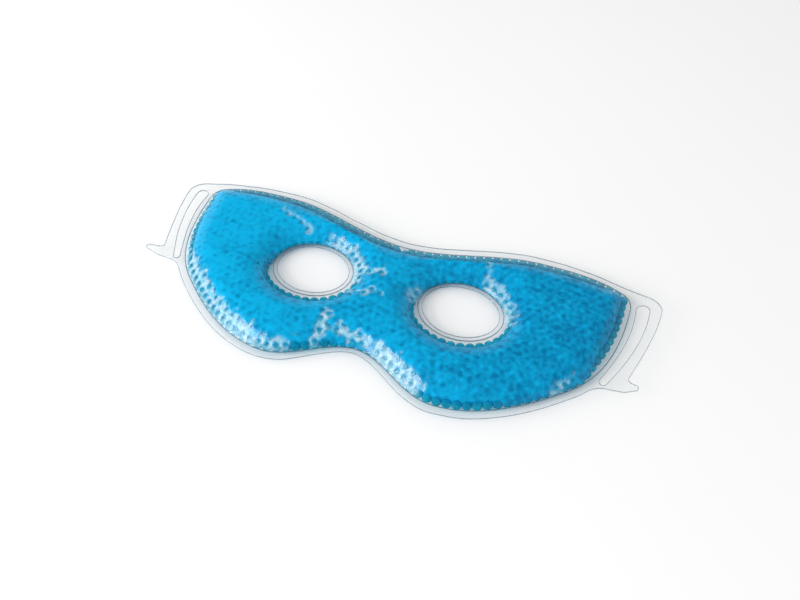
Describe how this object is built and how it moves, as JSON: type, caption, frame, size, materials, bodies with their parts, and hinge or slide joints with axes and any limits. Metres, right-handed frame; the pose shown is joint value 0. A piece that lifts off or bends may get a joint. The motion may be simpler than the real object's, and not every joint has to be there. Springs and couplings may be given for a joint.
{
  "type": "gel bead eye mask",
  "caption": "Clear film eye mask of two bead-filled lobes with open eye holes, a nose bridge that folds and a slotted strap tab at each end.",
  "frame": {"origin": "middle of the mask's outline, on the surface it lies on", "axes": "+X along the width towards the wearer's left strap tab as seen from the front, +Y up the face, +Z away from the face"},
  "size_m": [0.24, 0.0958, 0.011],
  "materials": {
    "clear_film": "glossy clear soft film",
    "gel": "wet translucent gel"
  },
  "bodies": {
    "left_half": {"front_film_left": "clear_film", "back_film_left": "clear_film", "gel_beads_left": "gel"},
    "right_half": {"front_film_right": "clear_film", "back_film_right": "clear_film", "gel_beads_right": "gel"}
  },
  "joints": [
    {"name": "bridge_fold", "type": "hinge", "parent": "left_half", "child": "right_half", "pos_m": [0, 0, 0.011], "axis": [0, -1, 0], "range_deg": [0, 60]}
  ]
}
